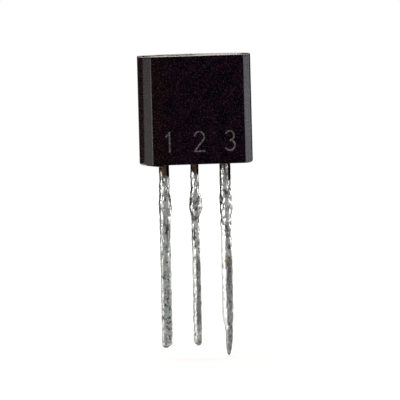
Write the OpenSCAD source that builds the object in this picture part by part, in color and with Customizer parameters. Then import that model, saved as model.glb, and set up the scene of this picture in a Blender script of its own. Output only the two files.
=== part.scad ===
// Three-lead transistor in a TO-92 style moulded package, with its leads trimmed short.
// X runs along the row of leads, -Y is the flat front face and +Z points up, away from the leads.
// The origin lies on the underside of the body, at the middle lead. All sizes are in millimetres.

/* [Body] */
// Overall width of the moulded body, which is the diameter of its round back
body_w = 4.68; // [4.5:0.01:5.2]
// Height of the body above its underside
body_h = 4.5; // [4:0.05:5.3]
// Distance from the flat front face back to the middle of the lead thickness
flat_to_leads = 1.25; // [1.1:0.05:1.4]
// Width of the flat front face between its two bevels
flat_w = 3.85; // [3.5:0.01:3.9]
// Distance from the flat front face back to where a bevel meets the round side
bevel_depth = 0.34; // [0.26:0.02:0.5]
// Distance by which the axis of the round back lies in front of the leads
round_offset = 0.2; // [0.1:0.05:0.3]
// Rounding of the lower edge all round the back and sides
lower_edge_r = 0.12; // [0.04:0.02:0.2]
// Mould draft of the top face, falling away from the parting plane on both sides, in degrees
top_draft = 0.8; // [0.2:0.2:4]

/* [Flash lip] */
// Depth of the lip of moulding flash that hangs below the left front corner
lip_depth = 0.1; // [0.04:0.01:0.2]
// Length of that lip, measured from the left lead towards the side
lip_length = 0.65; // [0.3:0.05:0.7]

/* [Leads] */
// Distance between the centres of neighbouring leads
lead_pitch = 1.27; // [1.2:0.01:1.35]
// Width of the left (emitter) lead
emitter_w = 0.43; // [0.3:0.01:0.5]
// Width of the middle (base) lead
base_w = 0.34; // [0.3:0.01:0.5]
// Width of the right (collector) lead
collector_w = 0.46; // [0.3:0.01:0.5]
// Thickness of the stamped lead frame
lead_t = 0.38; // [0.34:0.01:0.5]
// Trimmed length of the left (emitter) lead below the body
emitter_length = 7.6; // [5:0.05:14.5]
// Trimmed length of the middle (base) lead below the body
base_length = 7.55; // [5:0.05:14.5]
// Trimmed length of the right (collector) lead below the body
collector_length = 8; // [5:0.05:14.5]
// Height over which the emitter lead's end slopes where it was cut
emitter_cut_h = 0.15; // [0.05:0.01:0.4]
// Height over which the base lead's end is rounded off
base_cut_h = 0.11; // [0.05:0.01:0.4]
// Height over which the collector lead runs out to its point
collector_cut_h = 1.6; // [0.8:0.05:2.5]

/* [Tie-bar stubs] */
// Distance from the underside of the body down to the stubs left by the cut tie bar
stub_drop = 1.15; // [0.8:0.05:1.6]
// Height of a stub along its lead
stub_h = 1.1; // [0.7:0.05:1.6]
// Height of the sloped flank at each end of a stub
stub_flank = 0.28; // [0.1:0.02:0.34]
// How far a stub reaches from the centre of its lead to the left
stub_left = 0.25; // [0.25:0.005:0.3]
// How far a stub reaches from the centre of its lead to the right
stub_right = 0.28; // [0.25:0.005:0.32]

/* [Lead frame inside the body] */
// Height above the underside at which the leads widen into their blades
blade_start = 0.55; // [0.3:0.05:0.7]
// How far an outer lead's blade reaches from the lead's centre towards the side of the body
blade_out = 0.45; // [0.3:0.05:0.6]
// How far an outer lead's blade reaches from the lead's centre towards the middle
blade_in = 0.26; // [0.25:0.01:0.35]
// Gap between neighbouring pieces of the lead frame
frame_gap = 0.3; // [0.2:0.02:0.4]
// Height of the middle lead's blade
base_blade_h = 0.75; // [0.5:0.05:0.9]
// Moulding resin left above the collector's die paddle
paddle_cover = 1; // [0.7:0.05:1.3]
// How much lower the emitter's blade ends than the die paddle
emitter_drop = 0.5; // [0.2:0.05:0.8]
// Depth of the notch that locks a blade into the resin
notch_depth = 0.14; // [0.06:0.02:0.2]
// Height of that notch
notch_h = 0.4; // [0.2:0.05:0.5]
// Height of that notch's lower edge above the start of the blade
notch_rise = 0.3; // [0.2:0.05:0.5]

/* [Die] */
// Side of the square silicon die
die_w = 0.45; // [0.3:0.01:0.6]
// Thickness of the die
die_t = 0.2; // [0.12:0.01:0.25]
// Distance of the die's centre from the free edge of the paddle
die_inset = 0.9; // [0.6:0.05:1.3]
// Thickness of the conductive layer that holds the die
attach_t = 0.03; // [0.02:0.01:0.06]
// How far that layer shows round the die
attach_margin = 0.05; // [0.02:0.01:0.1]

/* [Bond wires] */
// Diameter of the gold bond wires
wire_d = 0.03; // [0.02:0.005:0.05]
// Height of the loops above the straight line from bond to bond
loop_h = 0.25; // [0.15:0.01:0.45]
// Diameter of the ball bond on the die
ball_d = 0.09; // [0.07:0.01:0.12]
// Height of the ball bond
ball_h = 0.025; // [0.015:0.005:0.04]
// Length of the stitch bond on a blade
stitch_l = 0.12; // [0.08:0.01:0.2]
// Width of the stitch bond
stitch_w = 0.07; // [0.05:0.01:0.1]
// Thickness of the stitch bond
stitch_t = 0.012; // [0.008:0.002:0.02]
// Distance of a stitch bond from the end of its blade
stitch_inset = 0.3; // [0.2:0.02:0.4]

/* [Hidden] */

// Facets of round shapes
$fn = 96;
// Spare length by which a cutting shape passes the surface that it cuts
spare = 1;

// Body
round_r = body_w / 2;
front_y = -flat_to_leads;
bevel_y = front_y + bevel_depth;
bevel_x = sqrt(pow(round_r, 2) - pow(bevel_y + round_offset, 2));
bevel_run = (bevel_x - flat_w / 2) / bevel_depth;
back_y = round_r - round_offset;

// Lead frame
frame_front_y = -lead_t / 2;
emitter_x = -lead_pitch;
base_x = 0;
collector_x = lead_pitch;
base_blade_half = lead_pitch - blade_in - frame_gap;
base_top = blade_start + base_blade_h;
paddle_bottom = base_top + frame_gap;
paddle_top = body_h - paddle_cover;
emitter_top = paddle_top - emitter_drop;
paddle_left = emitter_x + blade_in + frame_gap;
paddle_right = collector_x + blade_out;

// How each lead was cut off, from left to right, in shares of its width and of the cut's height
EMITTER_CUT = [[-0.5, 0.3], [-0.38, 0], [0.05, 0], [0.5, 1]];
BASE_CUT = [[-0.5, 1], [-0.15, 0], [0.25, 0], [0.5, 0.9]];
COLLECTOR_CUT = [
    [-0.5, 0.95], [-0.2, 0.6], [-0.17, 0.2], [-0.1, 0.04], [0.03, 0],
    [0.16, 0.05], [0.3, 0.2], [0.39, 0.44], [0.5, 1]
];

// Die and bonds
die_x = paddle_left + die_inset;
die_z = (paddle_bottom + paddle_top) / 2;
die_back_y = frame_front_y - attach_t;
die_front_y = die_back_y - die_t;
bond_shift = die_w / 4;

// Bond wires: rings along the loop, and sides of the wire
wire_rings = 15;
wire_sides = 8;
// Share of the span at which the loop peaks, as a power: under 1 puts the peak near the die
loop_lean = 0.65;

function reversed(list) = [for (i = [len(list) - 1:-1:0]) list[i]];

// One side of a lead's shank from the body downwards; side is -1 for left and 1 for right
function shank_side(x, w, side, stub) =
    let (edge = x + side * w / 2, out = x + side * stub)
    [
        [edge, blade_start],
        [edge, -stub_drop],
        [out, -stub_drop - stub_flank],
        [out, -stub_drop - stub_h + stub_flank],
        [edge, -stub_drop - stub_h]
    ];

// The whole shank below the blades, from the left shoulder round the cut end to the right shoulder
function shank(x, w, length, cut, cut_h) = concat(
    shank_side(x, w, -1, stub_left),
    [for (c = cut) [x + c[0] * w, c[1] * cut_h - length]],
    reversed(shank_side(x, w, 1, stub_right))
);

// The outer edge of an outer lead's blade with its locking notch, from the bottom up
function notched_edge(x, side, top) =
    let (edge = x + side * blade_out, inner = edge - side * notch_depth, low = blade_start + notch_rise)
    [
        [edge, blade_start],
        [edge, low],
        [inner, low],
        [inner, low + notch_h],
        [edge, low + notch_h],
        [edge, top]
    ];

function emitter_outline() = concat(
    shank(emitter_x, emitter_w, emitter_length, EMITTER_CUT, emitter_cut_h),
    [[emitter_x + blade_in, blade_start], [emitter_x + blade_in, emitter_top]],
    reversed(notched_edge(emitter_x, -1, emitter_top))
);

function base_outline() = concat(
    shank(base_x, base_w, base_length, BASE_CUT, base_cut_h),
    [
        [base_x + base_blade_half, blade_start],
        [base_x + base_blade_half, base_top],
        [base_x - base_blade_half, base_top],
        [base_x - base_blade_half, blade_start]
    ]
);

function collector_outline() = concat(
    shank(collector_x, collector_w, collector_length, COLLECTOR_CUT, collector_cut_h),
    notched_edge(collector_x, 1, paddle_top),
    [
        [paddle_left, paddle_top],
        [paddle_left, paddle_bottom],
        [collector_x - blade_in, paddle_bottom],
        [collector_x - blade_in, blade_start]
    ]
);

// Points on the centre line of a bond wire, where t runs from 0 on the die to 1 on the blade
function wire_point(start, end, t) =
    start + (end - start) * t + [0, -loop_h * sin(180 * pow(t, loop_lean)), 0];

// Direction of the wire at ring i: straight out of the ball, along the loop, and flat onto the blade
function wire_direction(start, end, i) =
    i == 0 ? [0, -1, 0]
    : i == wire_rings - 1 ? [0, 1, 0]
    : let (
        before = wire_point(start, end, (i - 1) / (wire_rings - 1)),
        after = wire_point(start, end, (i + 1) / (wire_rings - 1))
    )
    (after - before) / norm(after - before);

// Stamped sheet: an outline in the X-Z plane, as thick as the lead frame
module stamped(outline) {
    rotate([90, 0, 0])
        linear_extrude(lead_t, center = true)
            polygon(outline);
}

// Round block of the body with its lower edge rounded
module round_block() {
    translate([0, -round_offset, 0])
        rotate_extrude() {
            translate([0, lower_edge_r])
                square([round_r, body_h + spare - lower_edge_r]);
            square([round_r - lower_edge_r, lower_edge_r]);
            translate([round_r - lower_edge_r, lower_edge_r])
                circle(lower_edge_r);
        }
}

// Everything behind the flat front face and the two bevels
module behind_front() {
    reach = round_r + spare;
    wing = reach - flat_w / 2;
    translate([0, 0, -spare])
        linear_extrude(body_h + 2 * spare)
            polygon([
                [-flat_w / 2, front_y],
                [flat_w / 2, front_y],
                [reach, front_y + wing / bevel_run],
                [reach, back_y + spare],
                [-reach, back_y + spare],
                [-reach, front_y + wing / bevel_run]
            ]);
}

// Everything below the top face, which falls away from the parting plane to front and back
module below_top() {
    front = front_y - spare;
    back = back_y + spare;
    rotate([90, 0, 90])
        linear_extrude(2 * (round_r + spare), center = true)
            polygon([
                [front, -spare],
                [back, -spare],
                [back, body_h - back * tan(top_draft)],
                [0, body_h],
                [front, body_h + front * tan(top_draft)]
            ]);
}

// Wedge of flash below the left front corner, deepest beside the left lead
module flash_lip() {
    lead_side = emitter_x - emitter_w / 2;
    intersection() {
        rotate([90, 0, 0])
            linear_extrude(flat_to_leads + spare)
                polygon([
                    [lead_side, -lip_depth],
                    [lead_side, lower_edge_r],
                    [lead_side - lip_length, lower_edge_r],
                    [lead_side - lip_length, 0]
                ]);
        behind_front();
    }
}

// Block of resin before the pieces inside are taken out of it
module resin_block() {
    intersection() {
        round_block();
        behind_front();
        below_top();
    }
    flash_lip();
}

// One bond wire with its ball on the die at from and its stitch on the blade at to
module bond_wire(from, to) {
    start = from - [0, ball_h / 2, 0];
    end = to - [0, stitch_t / 2, 0];
    across = cross([0, 1, 0], end - start);
    normal = across / norm(across);
    rings = [
        for (i = [0:wire_rings - 1])
            let (
                centre = wire_point(start, end, i / (wire_rings - 1)),
                binormal = cross(wire_direction(start, end, i), normal)
            )
            for (s = [0:wire_sides - 1])
                let (a = 360 * s / wire_sides)
                centre + wire_d / 2 * (cos(a) * normal + sin(a) * binormal)
    ];
    skin = [
        for (i = [0:wire_rings - 2], s = [0:wire_sides - 1])
            let (a = i * wire_sides + s, b = i * wire_sides + (s + 1) % wire_sides)
            each [[a, b + wire_sides, b], [a, a + wire_sides, b + wire_sides]]
    ];
    first_cap = [for (s = [0:wire_sides - 1]) s];
    last_cap = [for (s = [wire_sides - 1:-1:0]) (wire_rings - 1) * wire_sides + s];
    span_angle = atan2(to[2] - from[2], to[0] - from[0]);
    polyhedron(rings, concat(skin, [first_cap, last_cap]));
    translate(from)
        rotate([90, 0, 0])
            cylinder(h = ball_h, d = ball_d, $fn = 12);
    translate(to)
        rotate([0, -span_angle, 0])
            translate([-stitch_l / 2, -stitch_t, -stitch_w / 2])
                cube([stitch_l, stitch_t, stitch_w]);
}

module emitter_lead() {
    color("silver")
        stamped(emitter_outline());
}

module base_lead() {
    color("silver")
        stamped(base_outline());
}

module collector_lead() {
    color("silver")
        stamped(collector_outline());
}

module die_attach() {
    pad_w = die_w + 2 * attach_margin;
    color("lightsteelblue")
        translate([die_x - pad_w / 2, die_back_y, die_z - pad_w / 2])
            cube([pad_w, attach_t, pad_w]);
}

module silicon_die() {
    color("slategray")
        translate([die_x - die_w / 2, die_front_y, die_z - die_w / 2])
            cube([die_w, die_t, die_w]);
}

module emitter_bond_wire() {
    color("gold")
        bond_wire(
            [die_x - bond_shift, die_front_y, die_z + bond_shift],
            [emitter_x, frame_front_y, emitter_top - stitch_inset]
        );
}

module base_bond_wire() {
    color("gold")
        bond_wire(
            [die_x + bond_shift, die_front_y, die_z - bond_shift],
            [base_x, frame_front_y, base_top - stitch_inset]
        );
}

module moulded_body() {
    color([0.1, 0.09, 0.1])
        difference() {
            resin_block();
            emitter_lead();
            base_lead();
            collector_lead();
            die_attach();
            silicon_die();
            emitter_bond_wire();
            base_bond_wire();
        }
}

moulded_body();
emitter_lead();
base_lead();
collector_lead();
die_attach();
silicon_die();
emitter_bond_wire();
base_bond_wire();
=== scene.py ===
"""Looks of a TO-92 transistor: moulded epoxy body, solder-dipped leads, and the parts hidden in the body."""

import math

import bmesh
import bpy
import numpy as np
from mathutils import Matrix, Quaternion, Vector, noise


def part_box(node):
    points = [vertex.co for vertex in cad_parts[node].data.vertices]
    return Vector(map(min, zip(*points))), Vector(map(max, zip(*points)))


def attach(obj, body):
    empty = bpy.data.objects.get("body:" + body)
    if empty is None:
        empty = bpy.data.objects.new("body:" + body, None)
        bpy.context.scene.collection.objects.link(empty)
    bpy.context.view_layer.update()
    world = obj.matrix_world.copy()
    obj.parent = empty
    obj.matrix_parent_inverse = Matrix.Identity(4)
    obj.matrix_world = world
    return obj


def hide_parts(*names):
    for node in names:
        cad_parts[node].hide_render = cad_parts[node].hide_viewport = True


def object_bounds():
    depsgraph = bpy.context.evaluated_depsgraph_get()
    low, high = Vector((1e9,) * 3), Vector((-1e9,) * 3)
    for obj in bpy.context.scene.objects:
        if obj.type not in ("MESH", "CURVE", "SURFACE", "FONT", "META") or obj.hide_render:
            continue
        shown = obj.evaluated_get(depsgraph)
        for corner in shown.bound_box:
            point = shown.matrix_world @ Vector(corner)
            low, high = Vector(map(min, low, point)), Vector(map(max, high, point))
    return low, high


MM = 0.001
TINY = 0.001 * MM

# Camera: where it looks from, in degrees, what it looks at, and its lens
CAMERA_AZIMUTH = -7.5
CAMERA_ELEVATION = 2.75
CAMERA_ROLL = 1.5
CAMERA_DISTANCE = 400 * MM
CAMERA_TARGET = Vector((0.138, -0.02, -1.528)) * MM
CAMERA_LENS = 870.5
SENSOR_WIDTH = 36.0

# Light: the level of the even fill, how far away a softbox stands, and the columns of a curved card
DIFFUSE_FILL = 0.7
LAMP_DISTANCE = 250 * MM
CARD_COLUMNS = 24

# Floor: what it adds for the camera, its gap below the leads' ends, and how far it reaches
FLOOR_LIFT = 0.19
FLOOR_GAP = 0.02 * MM
FLOOR_REACH = 150 * MM

# Body: the radius of its sharp edges, and how finely its section and its edges are divided
EDGE_RADIUS = 0.022 * MM
FLAT_STEPS = 192
BEVEL_STEPS = 14
ARC_STEPS = 190
FILLET_STEPS = 5
LOWER_EDGE_STEPS = 9

# Rings of the body: one low down, close ones over the pin numbers, a few plain ones above them, and those on
# the top and on the underside, as shares of the way out from the centre
LOWEST_RING = 0.25 * MM
MARK_STEP = 0.02 * MM
MARK_MARGIN = 0.1 * MM
PLAIN_GAP = 0.3 * MM
PLAIN_RINGS = 12
TOP_RINGS = (0.97, 0.9, 0.8, 0.7, 0.6, 0.5, 0.4, 0.3, 0.2, 0.1)
UNDERSIDE_RING = 0.98

# Fine outline with sharp corners, from which the softened section is taken
FINE_STEP = 0.004 * MM
FINE_BEVEL_STEPS = 120
FINE_ARC_STEPS = 8 * ARC_STEPS
SOFTENING_SAMPLES = 9

# Flash lip: its length beside the lead, how finely it is divided, how far its front stands back from the
# body's, and where its back lies
LIP_LENGTH = 0.66 * MM
LIP_STEPS = 40
LIP_SECTION_STEPS = 12
LIP_SET_BACK = 0.004 * MM
LIP_BACK = -0.02 * MM

# Its depth as shares of the full depth, at its outer end and at the lead; the size and depth of its ragged
# edge; the power that fills out its section; and the stretch of lead beside which it lies
LIP_START_DEPTH = 0.12
LIP_LAST_DEPTH = 0.75
LIP_TOOTH = 0.12 * MM
LIP_RAGGEDNESS = 0.12
LIP_FULLNESS = 0.35
LEAD_ROOT_LENGTH = 1.3 * MM

# Pin numbers on the flat face
DIGIT_HEIGHT = 0.8 * MM
DIGIT_FOOT = 0.55 * MM
STROKE_HALF_WIDTH = 0.030 * MM
STROKE_EDGE = 0.014 * MM

# Leads: how finely they are divided, how they stand, how far solder softens a corner of the outline, and
# the power of the superellipse that is their section where it is bare: the higher, the sharper its corners
RING_STEP = 0.026 * MM
RING_POINTS = 72
ROOT_INSIDE_BODY = 0.05 * MM
LEAD_SHIFT = -0.055 * MM
LEAD_LEAN = 0.006
CORNER_REACH = 0.1 * MM
CORNER_SAMPLES = 7
STAMPED_POWER = 7

# Tip of a lead: its last rings in steps above the end, the length over which it rounds off, and the shares
# of its width and thickness that are left at the end
TIP_RINGS = (0.75, 0.5, 0.3, 0.15, 0.05)
TIP_LENGTH = 0.12 * MM
TIP_WIDTH = 0.5
TIP_THICKNESS = 0.35

# Solder: its thickness, how it fades out at its edge, its lumps and drops, how much of their height a smooth
# side loses, and how strongly a drop's top is made clean and light, which is partly a painted highlight
COAT = 0.012 * MM
COAT_FADE = 0.04 * MM
LUMP_SIZE = 0.075 * MM
LUMP_HEIGHT = 0.015 * MM
DROP_HEIGHT = 0.06 * MM
MOST_SMOOTH = 0.85
DROP_PAINTED_HIGHLIGHT = 0.85

# Pattern of the solder, in mm: the heights between which the drops grow to their full size, how far the edge
# wanders up and down, and the sizes of a drop and of a patch; DRIP_WIDTH is a share of a lead's half width
DROPS_SMALL = -4.2
DROPS_FULL = -2.6
EDGE_WANDER = 0.12
DROP_WIDTH = 0.2
DROP_LENGTH = 0.34
PATCH_WIDTH = 0.16
PATCH_LENGTH = 0.3
DRIP_WIDTH = 0.2

# Colours, as linear red, green and blue
WHITE = (1, 1, 1)
COOL_LAMP = (0.78, 0.86, 1.0)
WARM_LAMP = (1.0, 0.90, 0.80)
BLACK_CARD = (0.01, 0.01, 0.01)
FLOOR_PAPER = (0.8, 0.8, 0.8)
RESIN_VIOLET = (0.0062, 0.0004, 0.0050)
RESIN_DARK = (0.0012, 0.0004, 0.0022)
RESIN_BROWN = (0.0066, 0.0016, 0.0006)
FILLER_DARK = (0.0006, 0.0001, 0.0004)
FILLER_LIGHT = (0.0300, 0.0125, 0.0240)
MARK_VIOLET = (0.135, 0.112, 0.132)
MARK_OLIVE = (0.128, 0.118, 0.088)
SOLDER_GREY = (0.50, 0.50, 0.49)
SOLDER_PALE = (0.88, 0.88, 0.87)
SOLDER_GRAIN = (0.24, 0.24, 0.235)
SOLDER_GREEN = (0.52, 0.64, 0.58)
SOLDER_SPARKLE = (0.92, 0.92, 0.91)
SOLDER_PIT = (0.03, 0.03, 0.03)
# Nearly white solder, partly clean metal and partly a painted highlight on the drops' tops and the left
# sides
SOLDER_CLEAN_HIGHLIGHT = (0.94, 0.94, 0.93)
# Painted shade in the solder's creases between lumps and drops
SOLDER_PAINTED_CREASE_SHADE = (0.07, 0.07, 0.07)
GRIT_LIGHT = (0.20, 0.20, 0.20)
GRIT_DARK = (0.02, 0.02, 0.02)
# Painted shade on the coat's upper edges, and the really dark cut end of a lead
SOLDER_PAINTED_SHADE_AND_CUT = (0.02, 0.019, 0.018)
RESIDUE = (0.34, 0.25, 0.10)
COPPER_DARK = (0.075, 0.038, 0.022)
COPPER_LIGHT = (0.19, 0.115, 0.075)
# Painted shade on the bare root's stamped sides
COPPER_PAINTED_SHADE = (0.004, 0.003, 0.003)
FRAME_DARK = (0.55, 0.30, 0.20)
FRAME_LIGHT = (0.68, 0.42, 0.30)
BINDER = (0.42, 0.41, 0.39)
SILVER_FLAKE = (0.74, 0.73, 0.70)
SILICON_DARK = (0.13, 0.14, 0.17)
SILICON_LIGHT = (0.17, 0.18, 0.21)
OXIDE_BLUE = (0.10, 0.12, 0.24)
OXIDE_VIOLET = (0.14, 0.11, 0.26)
ALUMINIUM = (0.78, 0.78, 0.77)
GOLD_DEEP = (0.92, 0.62, 0.20)
GOLD_PALE = (1.0, 0.74, 0.30)

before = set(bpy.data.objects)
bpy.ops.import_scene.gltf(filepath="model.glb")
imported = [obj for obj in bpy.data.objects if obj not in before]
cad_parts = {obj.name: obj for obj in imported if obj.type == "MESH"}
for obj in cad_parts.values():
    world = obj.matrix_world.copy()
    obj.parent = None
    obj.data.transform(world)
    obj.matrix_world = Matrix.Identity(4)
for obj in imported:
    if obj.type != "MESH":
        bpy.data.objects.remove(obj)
cad_low, cad_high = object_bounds()


# ---------------------------------------------------------------- camera, light and floor


def direction(azimuth, elevation):
    """Unit vector from the object towards a viewer or lamp at those angles, in degrees."""
    a = math.radians(azimuth)
    e = math.radians(elevation)
    return Vector((math.sin(a) * math.cos(e), -math.cos(a) * math.cos(e), math.sin(e)))


def add_camera():
    """Looks at the object from far off, a little from the left and from above."""
    data = bpy.data.cameras.new("camera")
    data.lens = CAMERA_LENS
    data.sensor_width = SENSOR_WIDTH
    data.clip_start = 0.05 * CAMERA_DISTANCE
    data.clip_end = 10 * CAMERA_DISTANCE
    camera = bpy.data.objects.new("camera", data)
    bpy.context.scene.collection.objects.link(camera)
    back = direction(CAMERA_AZIMUTH, CAMERA_ELEVATION)
    camera.location = CAMERA_TARGET + back * CAMERA_DISTANCE
    camera.rotation_mode = "QUATERNION"
    roll = Quaternion((0, 0, 1), -math.radians(CAMERA_ROLL))
    camera.rotation_quaternion = (-back).to_track_quat("-Z", "Y") @ roll
    bpy.context.scene.camera = camera


def add_softbox(name, azimuth, elevation, width, height, radiance, distance=LAMP_DISTANCE, colour=WHITE):
    """A rectangular lamp that faces the object and shines with an even radiance."""
    data = bpy.data.lights.new(name, "AREA")
    data.shape = "RECTANGLE"
    data.size = width
    data.size_y = height
    data.energy = radiance * math.pi * width * height
    data.color = colour
    lamp = bpy.data.objects.new(name, data)
    bpy.context.scene.collection.objects.link(lamp)
    towards = direction(azimuth, elevation)
    lamp.location = towards * distance
    lamp.rotation_mode = "QUATERNION"
    lamp.rotation_quaternion = towards.to_track_quat("Z", "Y")
    lamp.visible_camera = False


def add_world():
    """White for the camera, for glossy and for transmitted rays, and an even fill for diffuse light."""
    world = bpy.data.worlds.new("studio")
    bpy.context.scene.world = world
    world.use_nodes = True
    tree = world.node_tree
    tree.nodes.clear()
    path = tree.nodes.new("ShaderNodeLightPath")
    sees = path.outputs["Is Camera Ray"]
    for ray in ("Is Glossy Ray", "Is Transmission Ray"):
        either = tree.nodes.new("ShaderNodeMath")
        either.operation = "MAXIMUM"
        tree.links.new(sees, either.inputs[0])
        tree.links.new(path.outputs[ray], either.inputs[1])
        sees = either.outputs[0]
    strength = tree.nodes.new("ShaderNodeMapRange")
    strength.inputs["To Min"].default_value = DIFFUSE_FILL
    strength.inputs["To Max"].default_value = 1.0
    tree.links.new(sees, strength.inputs["Value"])
    background = tree.nodes.new("ShaderNodeBackground")
    background.inputs["Color"].default_value = (*WHITE, 1)
    tree.links.new(strength.outputs["Result"], background.inputs["Strength"])
    out = tree.nodes.new("ShaderNodeOutputWorld")
    tree.links.new(background.outputs[0], out.inputs["Surface"])


def add_flag(name, first, last, radius, bottom, top, foot=None):
    """A curved black card between two azimuths, which only reflections see.

    bottom and top are heights, and foot is the lower edge's radius where it isn't the upper one's."""
    vertices = []
    for i in range(CARD_COLUMNS + 1):
        towards = direction(first + (last - first) * i / CARD_COLUMNS, 0)
        vertices.append(towards * (foot or radius) + Vector((0, 0, bottom)))
        vertices.append(towards * radius + Vector((0, 0, top)))
    faces = [(2 * i, 2 * i + 2, 2 * i + 3, 2 * i + 1) for i in range(CARD_COLUMNS)]
    mesh = bpy.data.meshes.new(name)
    mesh.from_pydata(vertices, [], faces)
    card = bpy.data.objects.new(name, mesh)
    bpy.context.scene.collection.objects.link(card)
    material = bpy.data.materials.new(name)
    material.use_nodes = True
    shader = material.node_tree.nodes["Principled BSDF"]
    shader.inputs["Base Color"].default_value = (*BLACK_CARD, 1)
    shader.inputs["Roughness"].default_value = 1.0
    shader.inputs["Specular IOR Level"].default_value = 0.0
    mesh.materials.append(material)
    card.visible_camera = False
    card.visible_diffuse = False
    card.visible_transmission = False
    card.visible_shadow = False


def add_floor(level):
    """A pale floor that the camera sees as white, with the object's shadow on it."""
    mesh = bpy.data.meshes.new("floor")
    corners = [(x * FLOOR_REACH, y * FLOOR_REACH, level) for x, y in ((-1, -1), (1, -1), (1, 1), (-1, 1))]
    mesh.from_pydata(corners, [], [(0, 1, 2, 3)])
    floor = bpy.data.objects.new("floor", mesh)
    bpy.context.scene.collection.objects.link(floor)
    material = bpy.data.materials.new("floor_paper")
    material.use_nodes = True
    tree = material.node_tree
    shader = tree.nodes["Principled BSDF"]
    shader.inputs["Base Color"].default_value = (*FLOOR_PAPER, 1)
    shader.inputs["Roughness"].default_value = 0.9
    shader.inputs["Specular IOR Level"].default_value = 0.0
    shader.inputs["Emission Color"].default_value = (*WHITE, 1)
    path = tree.nodes.new("ShaderNodeLightPath")
    lift = tree.nodes.new("ShaderNodeMath")
    lift.operation = "MULTIPLY"
    lift.inputs[1].default_value = FLOOR_LIFT
    tree.links.new(path.outputs["Is Camera Ray"], lift.inputs[0])
    tree.links.new(lift.outputs[0], shader.inputs["Emission Strength"])
    mesh.materials.append(material)


# ---------------------------------------------------------------- materials


class Nodes:
    """Short calls that add shader nodes to one material."""

    def __init__(self, name):
        self.material = bpy.data.materials.new(name)
        self.material.use_nodes = True
        self.tree = self.material.node_tree
        self.shader = self.tree.nodes["Principled BSDF"]
        self.place = self.tree.nodes.new("ShaderNodeTexCoord").outputs["Object"]

    def link(self, source, target):
        self.tree.links.new(source, target)

    def feed(self, socket, value):
        """Gives a socket its value: a colour, a number or another node's output."""
        if isinstance(value, tuple):
            socket.default_value = (*value, 1)
        elif isinstance(value, (int, float)):
            socket.default_value = value
        else:
            self.link(value, socket)

    def coordinates(self):
        """Outputs X, Y and Z of the place on the object, in metres."""
        node = self.tree.nodes.new("ShaderNodeSeparateXYZ")
        self.link(self.place, node.inputs["Vector"])
        return node.outputs

    def noise(self, size, detail=2.0, roughness=0.5, stretch=(1, 1, 1)):
        """Noise whose lumps are about size metres across."""
        scale = self.tree.nodes.new("ShaderNodeMapping")
        scale.inputs["Scale"].default_value = [s / size for s in stretch]
        self.link(self.place, scale.inputs["Vector"])
        node = self.tree.nodes.new("ShaderNodeTexNoise")
        node.inputs["Scale"].default_value = 1.0
        node.inputs["Detail"].default_value = detail
        node.inputs["Roughness"].default_value = roughness
        self.link(scale.outputs["Vector"], node.inputs["Vector"])
        return node.outputs["Fac"]

    def spread(self, value, low, high, to_low=0.0, to_high=1.0):
        """Takes values from low to high smoothly to the range from to_low to to_high."""
        node = self.tree.nodes.new("ShaderNodeMapRange")
        node.interpolation_type = "SMOOTHSTEP"
        node.inputs["From Min"].default_value = low
        node.inputs["From Max"].default_value = high
        node.inputs["To Min"].default_value = to_low
        node.inputs["To Max"].default_value = to_high
        self.link(value, node.inputs["Value"])
        return node.outputs["Result"]

    def math(self, operation, a, b):
        """Result of a Math node for two numbers or outputs."""
        node = self.tree.nodes.new("ShaderNodeMath")
        node.operation = operation
        for socket, value in zip(node.inputs, (a, b)):
            self.feed(socket, value)
        return node.outputs["Value"]

    def mix(self, factor, a, b):
        """Colour a where factor is 0 and b where it is 1."""
        return self.blend("RGBA", "RGBA", factor, a, b)

    def mix_value(self, factor, a, b):
        """Number a where factor is 0 and b where it is 1."""
        return self.blend("FLOAT", "VALUE", factor, a, b)

    def blend(self, data_type, socket_type, factor, a, b):
        node = self.tree.nodes.new("ShaderNodeMix")
        node.data_type = data_type
        self.link(factor, node.inputs["Factor"])
        for name, value in (("A", a), ("B", b)):
            self.feed(next(s for s in node.inputs if s.name == name and s.type == socket_type), value)
        return next(s for s in node.outputs if s.type == socket_type)

    def attribute(self, name):
        """The numbers that set_attribute stored on the mesh, and 0 where it stored none."""
        node = self.tree.nodes.new("ShaderNodeAttribute")
        node.attribute_name = name
        return node.outputs["Fac"]

    def bump(self, height, distance, normal=None):
        """Relief that rises by distance metres where height is 1, on top of what normal has already."""
        node = self.tree.nodes.new("ShaderNodeBump")
        node.inputs["Distance"].default_value = distance
        node.inputs["Strength"].default_value = 1.0
        self.link(height, node.inputs["Height"])
        if normal is not None:
            self.link(normal, node.inputs["Normal"])
        return node.outputs["Normal"]

    def set(self, **values):
        """Feeds the shader's inputs; an underscore in a name stands for a space."""
        for name, value in values.items():
            self.feed(self.shader.inputs[name.replace("_", " ")], value)


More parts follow.
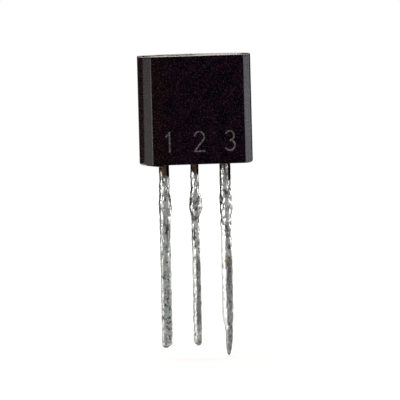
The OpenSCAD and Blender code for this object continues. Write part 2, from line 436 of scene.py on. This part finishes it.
def epoxy_material():
    """Near-black moulding resin, mottled by its filler, with laser-marked pin numbers."""
    n = Nodes("moulded_epoxy")
    rubbed = n.attribute("rubbed")
    across = n.coordinates()["X"]
    cloud = n.spread(n.noise(0.45 * MM, 3), 0.35, 0.65)
    resin = n.mix(cloud, RESIN_VIOLET, RESIN_DARK)
    wander = n.math("MULTIPLY", n.noise(0.7 * MM, 3), 2.4 * MM)
    on_left = n.spread(n.math("ADD", across, wander), -0.6 * MM, 0.4 * MM, 0.85, 0.0)
    resin = n.mix(on_left, resin, RESIN_BROWN)
    filler = n.noise(0.07 * MM, 3, 0.65)
    resin = n.mix(n.spread(filler, 0.34, 0.48, 0.9, 0.0), resin, FILLER_DARK)
    resin = n.mix(n.spread(filler, 0.52, 0.68, 0.0, 0.9), resin, FILLER_LIGHT)
    broken = n.spread(n.noise(0.07 * MM, 3, 0.7), 0.38, 0.60, 0.2, 1.0)
    mark = n.math("MULTIPLY", n.attribute("pin_mark"), broken)
    roughness = n.spread(n.noise(0.09 * MM, 4, 0.65), 0.32, 0.68, 0.14, 0.30)
    roughness = n.mix_value(n.attribute("top_face"), roughness, 0.32)
    roughness = n.mix_value(rubbed, n.mix_value(mark, roughness, 0.7), 0.09)
    n.set(
        Base_Color=n.mix(mark, resin, n.mix(cloud, MARK_VIOLET, MARK_OLIVE)),
        Roughness=roughness,
        IOR=1.46,
    )
    relief = n.bump(n.noise(0.03 * MM, 2), 0.0014 * MM)
    unevenness = n.spread(n.attribute("top_face"), 0.0, 1.0, 1.0, 0.2)
    relief = n.bump(n.math("MULTIPLY", n.noise(0.12 * MM, 3, 0.6), unevenness), 0.008 * MM, relief)
    relief = n.bump(mark, 0.0015 * MM, relief)
    n.set(Normal=relief)
    return n.material


def lead_material():
    """Bare copper alloy at the root with painted shade on its sides, and dull lumpy solder where the coat is
    set.
    """
    n = Nodes("dipped_lead")
    coat = n.attribute("coat")
    # Painted shade: black stamped sides at the root and black upper edges of the coat, together with the
    # dark cut end
    painted_shade_and_cut = n.attribute("painted_shade_and_cut")
    fresh = n.attribute("fresh")
    blotch = n.spread(n.noise(0.13 * MM, 4, 0.75, (1, 1, 0.45)), 0.40, 0.60)
    grain = n.spread(n.noise(0.085 * MM, 2, 0.6, (1, 1, 0.7)), 0.42, 0.58)
    grain = n.math("MULTIPLY", grain, n.spread(fresh, 0.0, 1.0, 0.7, 0.2))
    speck = n.noise(0.11 * MM, 3, 0.7, (1, 1, 0.8))
    solder = n.mix(blotch, SOLDER_GREY, SOLDER_PALE)
    solder = n.mix(grain, solder, SOLDER_GRAIN)
    solder = n.mix(n.spread(n.noise(0.9 * MM, 1), 0.35, 0.65, 0.0, 0.3), solder, SOLDER_GREEN)
    solder = n.mix(n.spread(speck, 0.30, 0.44, 1.0, 0.0), solder, SOLDER_SPARKLE)
    pit = n.math("MULTIPLY", n.spread(speck, 0.55, 0.61), n.spread(fresh, 0.0, 1.0, 1.0, 0.5))
    solder = n.mix(pit, solder, SOLDER_PIT)
    # Painted highlight: the coat's left side and the drops' tops turn nearly white, partly as clean solder
    solder = n.mix(n.attribute("clean_and_painted_highlight"), solder, SOLDER_CLEAN_HIGHLIGHT)
    # Painted shade: darker solder in the creases between lumps and drops
    solder = n.mix(n.spread(n.attribute("painted_crease_shade"), 0.1, 0.7, 0.0, 0.9), solder, SOLDER_PAINTED_CREASE_SHADE)
    # Painted shade on the coat's upper edges, and the dark cut end
    solder_shade_and_cut = n.math("MULTIPLY", painted_shade_and_cut, n.spread(speck, 0.40, 0.52, 0.6, 1.0))
    solder = n.mix(solder_shade_and_cut, solder, SOLDER_PAINTED_SHADE_AND_CUT)
    gritty = n.mix(n.spread(n.noise(0.06 * MM, 3, 0.7), 0.38, 0.60), GRIT_LIGHT, GRIT_DARK)
    solder = n.mix(n.spread(n.attribute("dull"), 0.0, 1.0, 0.0, 0.8), solder, gritty)
    solder = n.mix(n.attribute("stain"), solder, RESIDUE)
    copper = n.mix(blotch, COPPER_DARK, COPPER_LIGHT)
    # Painted shade: the bare root's sides turn black
    copper = n.mix(painted_shade_and_cut, copper, COPPER_PAINTED_SHADE)
    n.set(
        Base_Color=n.mix(coat, copper, solder),
        Metallic=n.mix_value(coat, n.mix_value(painted_shade_and_cut, 0.4, 1.0), n.mix_value(fresh, 0.5, 0.61)),
        Roughness=n.mix_value(coat, 0.45, n.mix_value(fresh, 0.3, 0.12)),
    )
    unevenness = n.spread(fresh, 0.2, 1.0, 1.0, 0.35)
    relief = n.bump(n.math("MULTIPLY", n.noise(0.07 * MM, 3, 0.6, (1, 1, 0.6)), unevenness), 0.012 * MM)
    relief = n.bump(n.math("MULTIPLY", speck, unevenness), 0.011 * MM, relief)
    n.set(Normal=relief)
    return n.material


def frame_metal_material():
    """Rolled copper alloy of the lead frame inside the body, with the rolling lines along the leads."""
    n = Nodes("rolled_copper_alloy")
    lines = n.noise(0.02 * MM, 2, 0.5, (1, 1, 0.05))
    tone = n.spread(n.noise(0.4 * MM, 3), 0.35, 0.65)
    n.set(
        Base_Color=n.mix(tone, FRAME_DARK, FRAME_LIGHT),
        Metallic=1.0,
        Roughness=n.spread(lines, 0.3, 0.7, 0.28, 0.42),
        Normal=n.bump(lines, 0.001 * MM),
    )
    return n.material


def die_attach_material():
    """Silver-filled adhesive: flakes in a dull grey binder."""
    n = Nodes("silver_filled_adhesive")
    flakes = n.spread(n.noise(0.012 * MM, 2, 0.6), 0.42, 0.6)
    n.set(
        Base_Color=n.mix(flakes, BINDER, SILVER_FLAKE),
        Metallic=n.spread(flakes, 0.0, 1.0, 0.3, 0.9),
        Roughness=0.5,
        Normal=n.bump(flakes, 0.002 * MM),
    )
    return n.material


def silicon_material(low, high):
    """Polished silicon with two aluminium bond pads and a scribed border on its front."""
    n = Nodes("silicon")
    centre = (low + high) / 2
    half = (high.x - low.x) / 2
    place = n.coordinates()

    def square(x, z, half_side):
        across = n.math("ABSOLUTE", n.math("SUBTRACT", place["X"], x), 0)
        up = n.math("ABSOLUTE", n.math("SUBTRACT", place["Z"], z), 0)
        return n.math("LESS_THAN", n.math("MAXIMUM", across, up), half_side)

    shift = half / 2
    emitter_pad = square(centre.x - shift, centre.z + shift, 0.6 * shift)
    base_pad = square(centre.x + shift, centre.z - shift, 0.6 * shift)
    active = square(centre.x, centre.z, 0.9 * half)
    tint = n.spread(n.noise(0.1 * MM, 2), 0.3, 0.7)
    bare = n.mix(tint, SILICON_DARK, SILICON_LIGHT)
    oxide = n.mix(tint, OXIDE_BLUE, OXIDE_VIOLET)
    pads = n.math("MAXIMUM", emitter_pad, base_pad)
    n.set(
        Base_Color=n.mix(pads, n.mix(active, bare, oxide), ALUMINIUM),
        Metallic=n.mix_value(pads, 0.3, 1.0),
        Roughness=n.mix_value(pads, 0.12, 0.3),
    )
    return n.material


def gold_material():
    """Drawn gold wire with faint lengthwise streaks."""
    n = Nodes("gold_wire")
    streak = n.noise(0.01 * MM, 2)
    n.set(
        Base_Color=n.mix(n.spread(streak, 0.3, 0.7), GOLD_DEEP, GOLD_PALE),
        Metallic=1.0,
        Roughness=n.spread(streak, 0.3, 0.7, 0.16, 0.26),
    )
    return n.material


# ---------------------------------------------------------------- mesh helpers


def add_piece(name, vertices, faces, material, replaces=()):
    """A smooth-shaded mesh that belongs to the object."""
    mesh = bpy.data.meshes.new(name)
    mesh.from_pydata([tuple(v) for v in vertices], [], faces)
    mesh.validate()
    mesh.polygons.foreach_set("use_smooth", [True] * len(mesh.polygons))
    mesh.materials.append(material)
    piece = bpy.data.objects.new(name, mesh)
    bpy.context.scene.collection.objects.link(piece)
    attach(piece, "root")
    if replaces:
        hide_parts(*replaces)
    return piece


def set_attribute(piece, name, values):
    """Stores one number for each vertex, which the materials read."""
    attribute = piece.data.attributes.new(name, "FLOAT", "POINT")
    attribute.data.foreach_set("value", np.asarray(values, np.float32))


def loft_faces(rings, points):
    """Quads between closed rings of points vertices each, rings running upwards and points anticlockwise."""
    faces = []
    for r in range(rings - 1):
        for p in range(points):
            a = r * points + p
            b = r * points + (p + 1) % points
            faces.append((a, b, b + points, a + points))
    return faces


def smoothstep(low, high, value):
    """0 at low and 1 at high, with a smooth rise between; low may be the larger one."""
    t = np.clip((value - low) / (high - low), 0, 1)
    return t * t * (3 - 2 * t)


def node_points(node):
    """The vertices of a CAD node, as an array."""
    return np.array([v.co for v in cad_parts[node].data.vertices], float)


# ---------------------------------------------------------------- body


class BodyShape:
    """Driving sizes of the D-shaped body, read from its CAD node."""

    def __init__(self):
        points = node_points("moulded_body")
        low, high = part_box("moulded_body")
        self.front = low.y
        self.height = high.z
        on_front = points[points[:, 1] < self.front + TINY]
        self.half_flat = on_front[:, 0].max()
        self.slope = (self.height - on_front[:, 2].max()) / -self.front
        top = points[points[:, 2] > 0.8 * self.height]
        beside = top[(top[:, 1] > self.front + TINY) & (top[:, 0] > 0)]
        corner = beside[beside[:, 1].argmin()]
        self.bevel = (corner[0], corner[1])
        self.axis_y, self.radius = self.round_back(top[top[:, 1] > self.bevel[1] - TINY])
        off_axis = np.hypot(points[:, 0], points[:, 1] - self.axis_y)
        self.lower_edge = points[off_axis > self.radius - TINY][:, 2].min()

    @staticmethod
    def round_back(points):
        """Where the axis of the round back lies in depth, and its radius."""
        terms = np.column_stack([2 * points[:, 1], np.ones(len(points))])
        square = (points[:, :2] ** 2).sum(1)
        (axis_y, rest), *_ = np.linalg.lstsq(terms, square, rcond=None)
        return axis_y, math.sqrt(rest + axis_y**2)

    def top(self, y):
        """Height of the top at depth y: highest over the leads, and sloping to the front and the back."""
        return self.height - abs(y) * self.slope

    def sharp_corners(self, radius, inset):
        """Right-hand flat corner and bevel corner when the sides move inwards by inset."""
        flat_corner = np.array([self.half_flat, self.front])
        along = np.array(self.bevel) - flat_corner
        along /= np.linalg.norm(along)
        inwards = np.array([-along[1], along[0]])
        base = flat_corner + inwards * inset
        start = base + along * (self.front + inset - base[1]) / along[1]
        centre = np.array([0, self.axis_y])
        toward = start - centre
        b = toward @ along
        reach = -b + math.sqrt(b * b - toward @ toward + radius * radius)
        return start, start + along * reach

    def outline(self, radius, inset):
        """Points of the section anticlockwise from the left flat corner, its sharp corners softened."""
        flat_corner, bevel_corner = self.sharp_corners(radius, inset)
        flip = np.array([-1, 1])

        def line(a, b, steps):
            t = np.linspace(0, 1, steps, endpoint=False)[:, None]
            return a + (b - a) * t

        start = math.atan2(bevel_corner[1] - self.axis_y, bevel_corner[0])
        angles = np.linspace(start, math.pi - start, FINE_ARC_STEPS, endpoint=False)
        arc = np.stack([radius * np.cos(angles), self.axis_y + radius * np.sin(angles)], 1)
        sides = [
            line(flat_corner * flip, flat_corner, int(2 * self.half_flat / FINE_STEP)),
            line(flat_corner, bevel_corner, FINE_BEVEL_STEPS),
            arc,
            line(bevel_corner * flip, flat_corner * flip, FINE_BEVEL_STEPS),
        ]
        sharp = np.concatenate(sides)
        closed = np.concatenate([sharp, sharp[:1]])
        length = np.concatenate([[0], np.cumsum(np.linalg.norm(np.diff(closed, axis=0), axis=1))])
        total = length[-1]
        ends = length[np.cumsum([0, *[len(side) for side in sides]])]

        def at(run):
            run = run % total
            return np.stack([np.interp(run, length, closed[:, i]) for i in (0, 1)], 1)

        steps = (FLAT_STEPS, BEVEL_STEPS, ARC_STEPS, BEVEL_STEPS)
        runs = np.concatenate(
            [np.linspace(ends[i], ends[i + 1], steps[i], endpoint=False) for i in range(len(steps))]
        )
        offsets = np.linspace(-EDGE_RADIUS, EDGE_RADIUS, SOFTENING_SAMPLES)
        return sum(at(runs + offset) for offset in offsets) / len(offsets)

    def rings(self):
        """(heights, section) of every ring from the underside to the top edge."""
        rings = []
        edge = EDGE_RADIUS
        for t in np.linspace(0, 1, LOWER_EDGE_STEPS):
            z = self.lower_edge * (1 - math.cos(t * math.pi / 2))
            rise = self.lower_edge - z
            radius = self.radius - self.lower_edge + math.sqrt(self.lower_edge**2 - rise**2)
            low = max(edge - z, 0)
            inset = edge - math.sqrt(edge**2 - low**2)
            section = self.outline(radius, inset)
            rings.append((np.full(len(section), z), section))
        full = self.outline(self.radius, 0)
        digits_top = DIGIT_FOOT + DIGIT_HEIGHT
        marks = np.arange(DIGIT_FOOT - MARK_MARGIN, digits_top + MARK_MARGIN, MARK_STEP)
        plain = np.linspace(digits_top + PLAIN_GAP, self.height - MARK_MARGIN, PLAIN_RINGS)
        for z in (LOWEST_RING, *marks, *plain):
            rings.append((np.full(len(full), z), full))
        for t in np.linspace(0, math.pi / 2, FILLET_STEPS):
            inset = edge * (1 - math.cos(t))
            section = self.outline(self.radius - inset, inset)
            rings.append((self.top(section[:, 1]) - edge * (1 - math.sin(t)), section))
        return rings


def stroke_distance(x, z, stroke):
    """Distance of each point to a polyline."""
    best = np.full(len(x), np.inf)
    for (ax, az), (bx, bz) in zip(stroke, stroke[1:]):
        dx = bx - ax
        dz = bz - az
        t = np.clip(((x - ax) * dx + (z - az) * dz) / (dx * dx + dz * dz), 0, 1)
        best = np.minimum(best, np.hypot(x - ax - t * dx, z - az - t * dz))
    return best


def arc_points(cx, cz, rx, rz, start, end, steps=14):
    """Points on an ellipse between two angles, in degrees."""
    angles = np.radians(np.linspace(start, end, steps))
    return [(cx + rx * math.cos(a), cz + rz * math.sin(a)) for a in angles]


# Strokes of the three digits, in shares of a digit's height
DIGITS = {
    "1": [[(-0.14, 0.78), (0.04, 1.0), (0.04, 0.0)]],
    "2": [arc_points(0, 0.73, 0.25, 0.27, 165, -30) + [(-0.26, 0.0), (0.27, 0.0)]],
    "3": [
        arc_points(0, 0.755, 0.22, 0.245, 150, -85),
        arc_points(0, 0.265, 0.26, 0.265, 85, -150),
    ],
}


def pin_marks(x, z, centres):
    """How strongly each point of the flat is marked, from 0 to 1."""
    nearest = np.full(len(x), np.inf)
    for centre, strokes in zip(centres, DIGITS.values()):
        for stroke in strokes:
            placed = [(centre + sx * DIGIT_HEIGHT, DIGIT_FOOT + sz * DIGIT_HEIGHT) for sx, sz in stroke]
            nearest = np.minimum(nearest, stroke_distance(x, z, placed))
    return 1 - smoothstep(STROKE_HALF_WIDTH - STROKE_EDGE, STROKE_HALF_WIDTH + STROKE_EDGE, nearest)


def lead_centre(node):
    """Where a lead's shank stands across the row."""
    points = node_points(node)
    shank = points[(points[:, 2] < 0) & (points[:, 2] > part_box(node)[0].z / 3)]
    return (shank[:, 0].min() + shank[:, 0].max()) / 2


def add_body(shape, material):
    """The moulded body: its sides from the underside up, then its top and its underside."""
    rings = shape.rings()
    count = len(rings[0][0])
    vertices = [np.column_stack([section, heights]) for heights, section in rings]
    edge = rings[-1][1]
    centre = np.array([0, shape.axis_y])
    for share in TOP_RINGS:
        section = centre + (edge - centre) * share
        vertices.append(np.column_stack([section, shape.top(section[:, 1])]))
    faces = loft_faces(len(vertices), count)
    foot_heights, foot = rings[0]
    vertices.append(np.column_stack([centre + (foot - centre) * UNDERSIDE_RING, foot_heights]))
    underside = (len(vertices) - 1) * count
    top = underside - count
    top_centre = underside + count
    underside_centre = top_centre + 1
    vertices.append(np.array([[*centre, shape.top(shape.axis_y)], [*centre, 0]]))
    for p in range(count):
        q = (p + 1) % count
        faces.append((top + p, top + q, top_centre))
        faces.append((underside + p, underside + q, q, p))
        faces.append((underside + q, underside + p, underside_centre))
    points = np.concatenate(vertices)
    piece = add_piece("body_moulding", points, faces, material, ["moulded_body"])
    on_flat = (points[:, 1] < shape.front + 0.5 * EDGE_RADIUS).astype(float)
    centres = [lead_centre(node) for node in ("emitter_lead", "base_lead", "collector_lead")]
    set_attribute(piece, "pin_mark", on_flat * pin_marks(points[:, 0], points[:, 2], centres))
    on_top = smoothstep(-0.5 * EDGE_RADIUS, 0, points[:, 2] - shape.top(points[:, 1]))
    set_attribute(piece, "top_face", on_top)
    set_attribute(piece, "rubbed", on_top * rubbed_strength(points[:, 0] / MM, points[:, 1] / MM))


def rubbed_strength(x, y):
    """How far the top is rubbed glossy at x and y in mm: at both ends, and along its ridge on the left."""
    wander = np.array([0.2 * noise.noise(Vector((2.5 * a, 5 * b, 7.7))) for a, b in zip(x, y)])
    ends = smoothstep(1.7, 2.1, abs(x) + wander) * smoothstep(0.4, 0.0, y + wander)
    ridge = smoothstep(-0.62, -0.45, y + wander) * smoothstep(0.3, 0.1, y + wander)
    return np.maximum(ends, ridge * smoothstep(0.3, -0.2, x + wander))


def add_flash_lip(shape, material):
    """Thin wedge of flash under the left front corner, deepest beside the left lead."""
    depth = -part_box("moulded_body")[0].z
    emitter = node_points("emitter_lead")
    root = emitter[(emitter[:, 2] > -LEAD_ROOT_LENGTH) & (emitter[:, 2] < 0)]
    lead_side = root[:, 0].min()
    points = node_points("moulded_body")
    foot = points[(abs(points[:, 2]) < TINY) & (points[:, 1] < 0)]
    start = max(foot[:, 0].min(), lead_side - LIP_LENGTH)
    slope = (shape.bevel[1] - shape.front) / (shape.bevel[0] - shape.half_flat)
    vertices = []
    for i in range(LIP_STEPS + 1):
        share = i / LIP_STEPS
        x = start + (lead_side - start) * share
        front = shape.front + max(-x - shape.half_flat, 0) * slope + LIP_SET_BACK
        ragged = 1 + LIP_RAGGEDNESS * noise.noise(Vector((x / LIP_TOOTH, 3.1, 0)))
        last = min(1.0, 12 * (1 - share) + LIP_LAST_DEPTH)
        drop = depth * (LIP_START_DEPTH + (1 - LIP_START_DEPTH) * share) * ragged * last
        for j in range(LIP_SECTION_STEPS + 1):
            angle = math.pi * j / LIP_SECTION_STEPS
            y = front + (LIP_BACK - front) * (1 - math.cos(angle)) / 2
            vertices.append((x, y, -drop * abs(math.sin(angle)) ** LIP_FULLNESS))
    row = LIP_SECTION_STEPS + 1
    faces = [
        (i * row + j, i * row + j + 1, (i + 1) * row + j + 1, (i + 1) * row + j)
        for i in range(LIP_STEPS)
        for j in range(LIP_SECTION_STEPS)
    ]
    first_end = [row - 1 - j for j in range(row)]
    last_end = [LIP_STEPS * row + j for j in range(row)]
    top_front = [i * row for i in range(LIP_STEPS + 1)]
    top_back = [(LIP_STEPS - i) * row + row - 1 for i in range(LIP_STEPS + 1)]
    faces += [tuple(first_end), tuple(last_end), tuple(top_front + top_back)]
    add_piece("flash_lip", vertices, faces, material)


# ---------------------------------------------------------------- leads


class LeadShape:
    """Left and right outline of a lead below the body, read from its CAD node."""

    def __init__(self, node):
        points = node_points(node)
        low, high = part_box(node)
        self.end = low.z
        self.half_thickness = (high.y - low.y) / 2
        below = points[points[:, 2] < 0]
        lowest = below[below[:, 2] < self.end + TINY]
        self.left = self.chain(below[below[:, 0] <= lowest[:, 0].min() + TINY])
        self.right = self.chain(below[below[:, 0] >= lowest[:, 0].max() - TINY])

    @staticmethod
    def chain(points):
        """Heights and places across of one edge's points, from the end upwards."""
        order = points[points[:, 2].argsort()]
        return order[:, 2], order[:, 0]

    def sides(self, z):
        """Left and right edge at height z, with the stubs' corners softened as solder softens them."""
        soft = min(CORNER_REACH, (z - self.end) / 2)
        heights = z + np.linspace(-soft, soft, CORNER_SAMPLES)
        return np.interp(heights, *self.left).mean(), np.interp(heights, *self.right).mean()

    def heights(self):
        """Heights of the rings from the tip up to the root, the lowest ones closer together."""
        even = np.arange(ROOT_INSIDE_BODY, self.end, -RING_STEP)
        tip = self.end + RING_STEP * np.array(TIP_RINGS)
        return np.concatenate([even[even > tip[0]], tip])[::-1]

    def opening(self, z):
        """How far the section has opened at height z, from 0 at the very tip to 1 above its rounding."""
        close = min((z - self.end) / TIP_LENGTH, 1)
        return 0.6 * math.sqrt(1 - (1 - close) ** 2) + 0.4 * close**0.5


def add_lead(node, name, material, seed, coat_edge, drips, round_left, round_right, dull, stains=()):
    """A lead's shank: bare stamped metal at its root, then a lumpy coat of solder with rounded sides.

    coat_edge is the height at which the coat starts, in mm, and drips lists how far across, from -1 to 1,
    and how much higher it runs up in drops. round_left and round_right list heights, and how round the
    coat's side is there, from 0 to 1; a little past 1 the coat is smooth as well, and on the left clean and
    painted nearly white as a highlight. dull lists heights, and how dull the coat is there, from 0 to 1.
    stains lists centres and two radii. Whatever the tables say, the upper coat stands in drops whose tops
    are painted light as highlights, with painted shade between them."""
    shape = LeadShape(node)
    heights = shape.heights()
    *round_tables, dull_table = [tuple(zip(*sorted(table))) for table in (round_left, round_right, dull)]
    angles = np.linspace(0, 2 * math.pi, RING_POINTS, endpoint=False)
    vertices = []
    looks = []
    for z in heights:
        left, right = shape.sides(z)
        middle = (left + right) / 2 + LEAD_SHIFT + LEAD_LEAN * z
        widening = TIP_WIDTH + (1 - TIP_WIDTH) * shape.opening(z)
        thickening = TIP_THICKNESS + (1 - TIP_THICKNESS) * shape.opening(z)
        roundness = [np.interp(z / MM, *table) for table in round_tables]
        smooth = [min(max(5 * (r - 1), 0), MOST_SMOOTH) for r in roundness]
        dullness = np.interp(z / MM, *dull_table)
        beaded = 0.2 + 0.8 * float(smoothstep(DROPS_SMALL, DROPS_FULL, z / MM))
        for angle in angles:
            across = math.cos(angle)
            backward = math.sin(angle)
            side = int(across > 0)
            start = coat_start(coat_edge, drips, seed, across, backward)
            coat = float(smoothstep(0, COAT_FADE, start - z))
            power = STAMPED_POWER - coat * (1 + 4 * roundness[side])
            # Bare metal lies a coat deeper than solder, and the sides a little deeper still
            half_x = ((right - left) / 2 - COAT * (1.2 - coat)) * widening
            half_y = (shape.half_thickness - COAT * (1 - coat)) * thickening
            r = (abs(across / half_x) ** power + abs(backward / half_y) ** power) ** (-1 / power)
            x = r * across
            y = r * backward
            lump, drop = solder_relief(x, y, z, seed)
            relief = (lump * LUMP_HEIGHT + drop * DROP_HEIGHT * beaded) * (1 - smooth[side])
            swell = 1 + (0.2 + 0.8 * coat) * relief / r
            vertices.append((middle + x * swell, y * swell, z))
            share = x / half_x
            on_left = left_patch(x, y, z, share, seed)
            kept = smoothstep(0.4, 0.8, roundness[0]) * on_left
            # Painted highlight: the drops' tops are made clean and light
            drop_highlight = DROP_PAINTED_HIGHLIGHT * beaded * smoothstep(0.0, 0.1, drop)
            # Looks: painted crease shade, painted side shade with the dark cut end, and clean solder with
            # painted highlights
            looks.append({
                "coat": coat,
                "painted_crease_shade": painted_crease_shade_strength(lump, drop, beaded),
                "painted_shade_and_cut": painted_shade_and_cut_strength(share, z, z - shape.end, coat),
                "dull": (1 - kept) * dullness,
                "fresh": max(beaded, smooth[side]),
                "clean_and_painted_highlight": max(smooth[0] * on_left, drop_highlight),
                "stain": max((stain_strength(Vector((x, y, z)), stain) for stain in stains), default=0.0),
            })
    faces = loft_faces(len(heights), RING_POINTS)
    faces.append(tuple(range(RING_POINTS - 1, -1, -1)))
    faces.append(tuple(range(len(vertices) - RING_POINTS, len(vertices))))
    piece = add_piece(name, vertices, faces, material, [node])
    for look in looks[0]:
        set_attribute(piece, look, [values[look] for values in looks])


def coat_start(coat_edge, drips, seed, across, backward):
    """Height at which the solder starts at one place round a lead, given as a direction from its middle."""
    drip = sum(rise * math.exp(-(((across - at) / DRIP_WIDTH) ** 2)) for at, rise in drips)
    wander = EDGE_WANDER * noise.noise(Vector((seed, 2.5 * across, 2.5 * backward)))
    return (coat_edge + drip + wander) * MM


def in_cells(x, y, z, width, length, shift):
    """A point of a lead, counted in cells of a pattern that are width by length, in mm."""
    return Vector((x / width, y / width, z / length)) / MM + Vector((0, 0, shift))


def solder_relief(x, y, z, seed):
    """Height of the lumps at a point, and of the drops: above 0 on a drop and below 0 between drops."""
    place = Vector((x, y, 0.45 * z)) / LUMP_SIZE + Vector((seed, 0, 0))
    lump = noise.noise(place * 0.5) + 0.8 * noise.noise(place + Vector((0, seed, 0)))
    distances, _ = noise.voronoi(in_cells(x, y, z, DROP_WIDTH, DROP_LENGTH, -seed))
    return lump, 0.25 - distances[0] ** 2


def left_patch(x, y, z, share, seed):
    """How far a point belongs to the left of a lead's face, with a broken border."""
    border = 0.35 * noise.noise(in_cells(x, y, z, PATCH_WIDTH, PATCH_LENGTH, seed))
    return smoothstep(-0.1, -0.4, share + border)


def painted_crease_shade_strength(lump, drop, beaded):
    """How dark the solder is painted as shade between its lumps and between its drops."""
    return max(0.0, -lump - 0.3) * (0.6 + 1.2 * beaded) + max(0.0, -drop) * 1.5 * beaded


def painted_shade_and_cut_strength(share, z, above_end, coat):
    """How black the stamped sides are painted as shade, on the bare root and on the coat's upper edges, and
    how dark the real cut end is, where share runs from -1 to 1 across a lead's face.
    """
    # Painted shade on the bare sides and on the coat's upper edges; the cut end is really dark
    bare = max(smoothstep(0.3, 0.5, share), smoothstep(0.65, 0.85, -share))
    dipped = max(smoothstep(0.86, 0.95, share), smoothstep(0.70, 0.80, -share))
    dipped *= smoothstep(-3.0, -1.8, z / MM)
    cut = 0.8 * (1 - smoothstep(0.03, 0.13, above_end / MM))
    return float(bare + (max(dipped, cut) - bare) * coat)


def stain_strength(point, stain):
    """How strongly a stain (centre, radius across, radius along) colours a point."""
    centre, across, along = stain
    d = point - centre
    distance = math.sqrt((d.x / across) ** 2 + (d.y / across) ** 2 + (d.z / along) ** 2)
    return float(1 - smoothstep(0.4, 1.0, distance + 0.5 * noise.noise(point / (0.06 * MM))))


def add_blade(node, name, material):
    """The part of a lead that lies inside the body, as the CAD has it."""
    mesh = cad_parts[node].data.copy()
    piece = bpy.data.objects.new(name, mesh)
    bpy.context.scene.collection.objects.link(piece)
    work = bmesh.new()
    work.from_mesh(mesh)
    bmesh.ops.remove_doubles(work, verts=work.verts, dist=0.1 * TINY)
    everything = work.verts[:] + work.edges[:] + work.faces[:]
    cut = bmesh.ops.bisect_plane(
        work, geom=everything, plane_co=(0, 0, ROOT_INSIDE_BODY), plane_no=(0, 0, 1), clear_inner=True
    )
    edges = [e for e in cut["geom_cut"] if isinstance(e, bmesh.types.BMEdge)]
    bmesh.ops.holes_fill(work, edges=edges)
    work.to_mesh(mesh)
    work.free()
    mesh.name = name
    mesh.materials.clear()
    mesh.materials.append(material)
    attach(piece, "root")


# ---------------------------------------------------------------- scene


def dress_cad_node(node, material):
    """Gives a CAD node that stays visible its material."""
    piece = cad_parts[node]
    piece.data.materials.clear()
    piece.data.materials.append(material)


bpy.context.scene.view_settings.view_transform = "Standard"
add_camera()
add_world()
add_floor(cad_low.z - FLOOR_GAP)
add_softbox("softbox_left", azimuth=-57, elevation=3, width=200 * MM, height=150 * MM, radiance=3.2)
add_softbox(
    "softbox_right",
    azimuth=97,
    elevation=3,
    width=160 * MM,
    height=100 * MM,
    radiance=1.28,
    colour=COOL_LAMP,
)
add_softbox("softbox_rim", azimuth=69, elevation=3, width=70 * MM, height=120 * MM, radiance=3.6)
add_softbox(
    "softbox_behind",
    azimuth=180,
    elevation=34,
    width=400 * MM,
    height=300 * MM,
    radiance=2.7,
    distance=300 * MM,
    colour=WARM_LAMP,
)
add_flag("flag_front", first=-36, last=60, radius=15 * MM, bottom=cad_low.z, top=28 * MM)
add_flag("flag_below", first=-36, last=60, radius=15 * MM, bottom=cad_low.z, top=cad_low.z, foot=4 * MM)
add_flag("flag_behind", first=113, last=257, radius=40 * MM, bottom=-2 * MM, top=14 * MM)
add_flag("flag_behind_low", first=130, last=232, radius=40 * MM, bottom=cad_low.z, top=-2 * MM)
add_flag("flag_left", first=-105, last=-34, radius=30 * MM, bottom=5 * MM, top=60 * MM)
add_flag("flag_right", first=58, last=115, radius=30 * MM, bottom=5 * MM, top=60 * MM)

epoxy = epoxy_material()
body = BodyShape()
add_body(body, epoxy)
add_flash_lip(body, epoxy)

lead = lead_material()
add_lead(
    "emitter_lead",
    "emitter_shank",
    lead,
    seed=3.9,
    coat_edge=-0.5,
    drips=[(-0.75, 0.28)],
    round_left=[(0, 1.0), (-2.2, 0.95), (-2.8, 0.4), (-3.4, 0.15), (-7.6, 0.1)],
    round_right=[(0, 0.7), (-0.8, 1.0), (-1.8, 1.0), (-2.4, 0.6), (-3.0, 1.0), (-4.2, 1.0), (-5.8, 0.4)],
    dull=[(-2.0, 0.25), (-3.2, 0.1), (-3.6, 0.3), (-5.2, 0.2), (-5.6, 0.0), (-7.2, 0.1), (-7.6, 0.4)],
)
add_lead(
    "base_lead",
    "base_shank",
    lead,
    seed=18.2,
    coat_edge=-0.4,
    drips=[(-0.6, 0.15)],
    round_left=[(-2.4, 1.0), (-2.8, 0.4), (-3.6, 1.05), (-5.0, 1.06), (-6.0, 1.0)],
    round_right=[(0, 0.8), (-0.7, 1.0), (-2.4, 1.0), (-2.8, 0.5), (-7.5, 0.3)],
    dull=[(-3.6, 0.0), (-4.2, 0.5), (-6.6, 0.65), (-7.1, 0.2), (-7.5, 0.5)],
)
add_lead(
    "collector_lead",
    "collector_shank",
    lead,
    seed=10.3,
    coat_edge=-0.32,
    drips=[(-0.6, 0.32), (0.3, 0.32), (0.75, -0.42)],
    round_left=[(-2.2, 1.0), (-2.8, 1.12), (-6.8, 1.12), (-7.1, 0.3), (-8.0, 0.1)],
    round_right=[(-2.8, 1.0), (-3.6, 0.6), (-5.0, 0.3), (-8.0, 0.1)],
    dull=[(-3.8, 0.0), (-4.1, 0.75), (-5.2, 0.55), (-6.2, 0.4), (-7.0, 0.5), (-7.5, 0.7), (-8.0, 0.8)],
    stains=[(Vector((-0.06, -0.2, -4.1)) * MM, 0.1 * MM, 0.16 * MM)],
)

frame_metal = frame_metal_material()
add_blade("emitter_lead", "emitter_blade", frame_metal)
add_blade("base_lead", "base_blade", frame_metal)
add_blade("collector_lead", "collector_paddle", frame_metal)

dress_cad_node("die_attach", die_attach_material())
dress_cad_node("silicon_die", silicon_material(*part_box("silicon_die")))
gold = gold_material()
dress_cad_node("emitter_bond_wire", gold)
dress_cad_node("base_bond_wire", gold)
